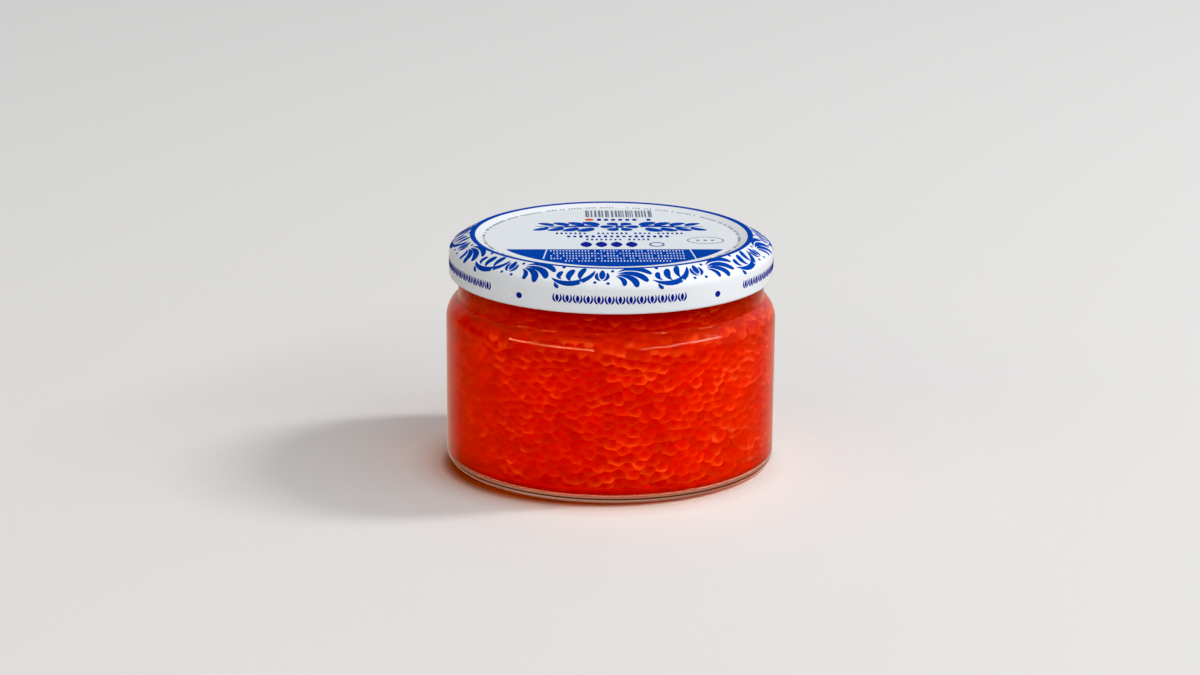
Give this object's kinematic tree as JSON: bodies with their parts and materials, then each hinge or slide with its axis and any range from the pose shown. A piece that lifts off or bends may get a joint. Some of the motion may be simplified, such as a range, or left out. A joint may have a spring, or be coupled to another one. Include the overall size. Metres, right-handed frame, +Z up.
{
  "type": "jar of trout roe",
  "caption": "Shut round glass jar filled with orange-red trout roe, with a low white twist-off lid of printed tinplate.",
  "frame": {"origin": "centre of the base, on the surface the jar stands on", "axes": "+Z up along the jar's axis; the side the picture shows faces -Y"},
  "size_m": [0.0864, 0.0864, 0.06],
  "materials": {
    "glass": "clear polished glass",
    "roe": null,
    "lid_paint": "glossy white lacquer on tinplate",
    "lid_print": "blue, grey and red printing ink under clear lacquer"
  },
  "bodies": {
    "root": {"jar": "glass", "roe": "roe", "lid": "lid_paint"}
  },
  "joints": []
}
